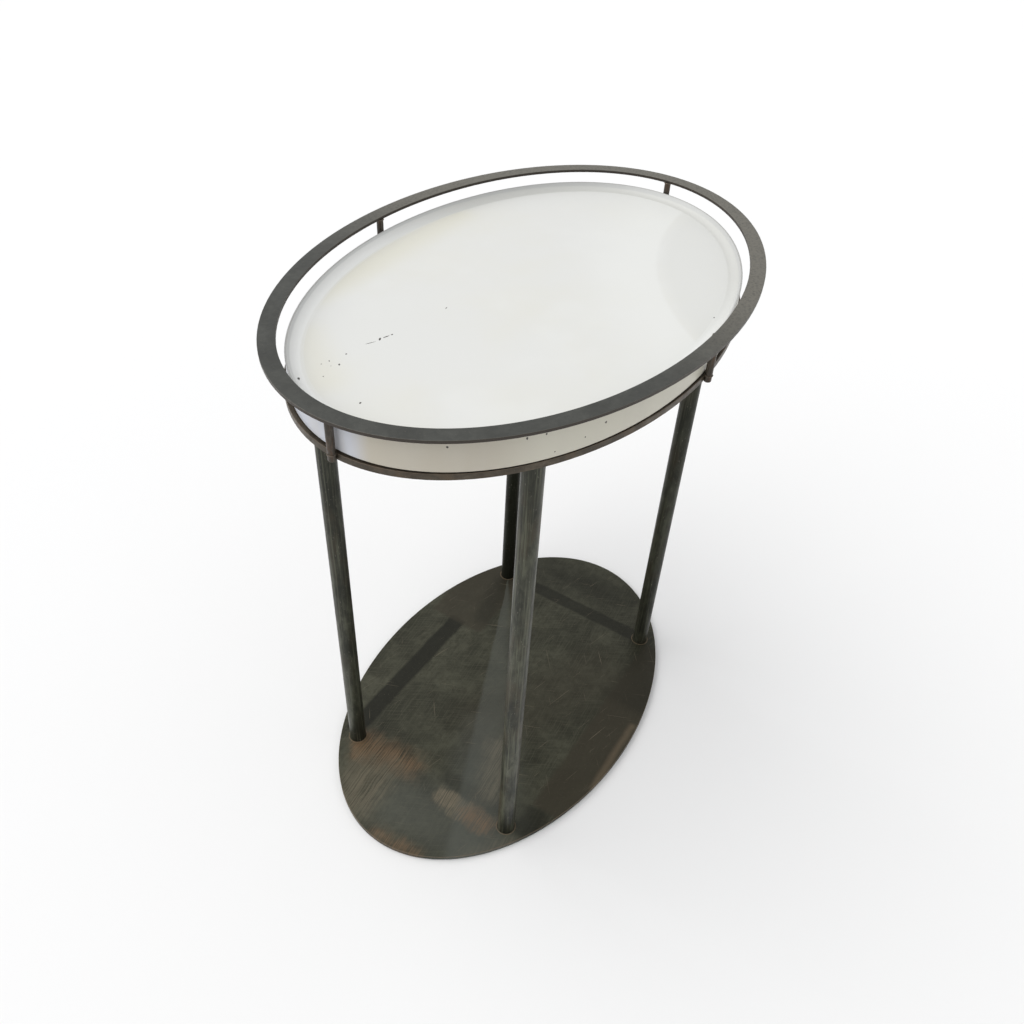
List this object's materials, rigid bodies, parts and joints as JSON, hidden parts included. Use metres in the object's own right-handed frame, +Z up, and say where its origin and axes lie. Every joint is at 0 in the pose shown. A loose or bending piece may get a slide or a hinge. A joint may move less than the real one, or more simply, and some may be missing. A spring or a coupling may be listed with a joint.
{
  "type": "oval tray side table",
  "caption": "Oval side table: steel base and shelf plates on tubular legs, a flat gallery ring on posts, and a white sheet-steel tray that lifts out through the ring.",
  "frame": {"origin": "on the floor under the middle of the table, the bottom centre of its box", "axes": "+X along the oval's long axis, +Y along its short axis, +Z up"},
  "size_m": [0.602, 0.406, 0.635],
  "materials": {
    "base_steel": "blackened and waxed, cloudy, with brown bloom",
    "bronzed_steel": "blackened, worn to warm brown on the edges",
    "ring_steel": "blackened slate grey, satin",
    "leg_steel": "blackened drawn tube, satin, faint lengthwise streaks",
    "plug_steel": "turned",
    "screw_steel": "black oxide",
    "pad_felt": "pressed felt",
    "white_paint": "satin white paint with small dark chips",
    "foot_rubber": "matt"
  },
  "bodies": {
    "table": {"base_plate": "base_steel", "shelf_plate": "bronzed_steel", "gallery_ring": "ring_steel", "leg_1": "leg_steel", "leg_2": "leg_steel", "leg_3": "leg_steel", "leg_4": "leg_steel", "lower_plug_1": "plug_steel", "lower_plug_2": "plug_steel", "lower_plug_3": "plug_steel", "lower_plug_4": "plug_steel", "upper_plug_1": "plug_steel", "upper_plug_2": "plug_steel", "upper_plug_3": "plug_steel", "upper_plug_4": "plug_steel", "base_screw_1": "screw_steel", "base_screw_2": "screw_steel", "base_screw_3": "screw_steel", "base_screw_4": "screw_steel", "shelf_screw_1": "screw_steel", "shelf_screw_2": "screw_steel", "shelf_screw_3": "screw_steel", "shelf_screw_4": "screw_steel", "floor_pad_1": "pad_felt", "floor_pad_2": "pad_felt", "floor_pad_3": "pad_felt", "floor_pad_4": "pad_felt", "gallery_post_1": "bronzed_steel", "gallery_post_2": "bronzed_steel", "gallery_post_3": "bronzed_steel", "gallery_post_4": "bronzed_steel"},
    "tray": {"tray": "white_paint", "tray_foot_1": "foot_rubber", "tray_foot_2": "foot_rubber", "tray_foot_3": "foot_rubber", "tray_foot_4": "foot_rubber"}
  },
  "joints": [
    {"name": "tray_lift", "type": "slide", "parent": "table", "child": "tray", "axis": [0, 0, 1], "range_m": [0, 0.1]}
  ]
}
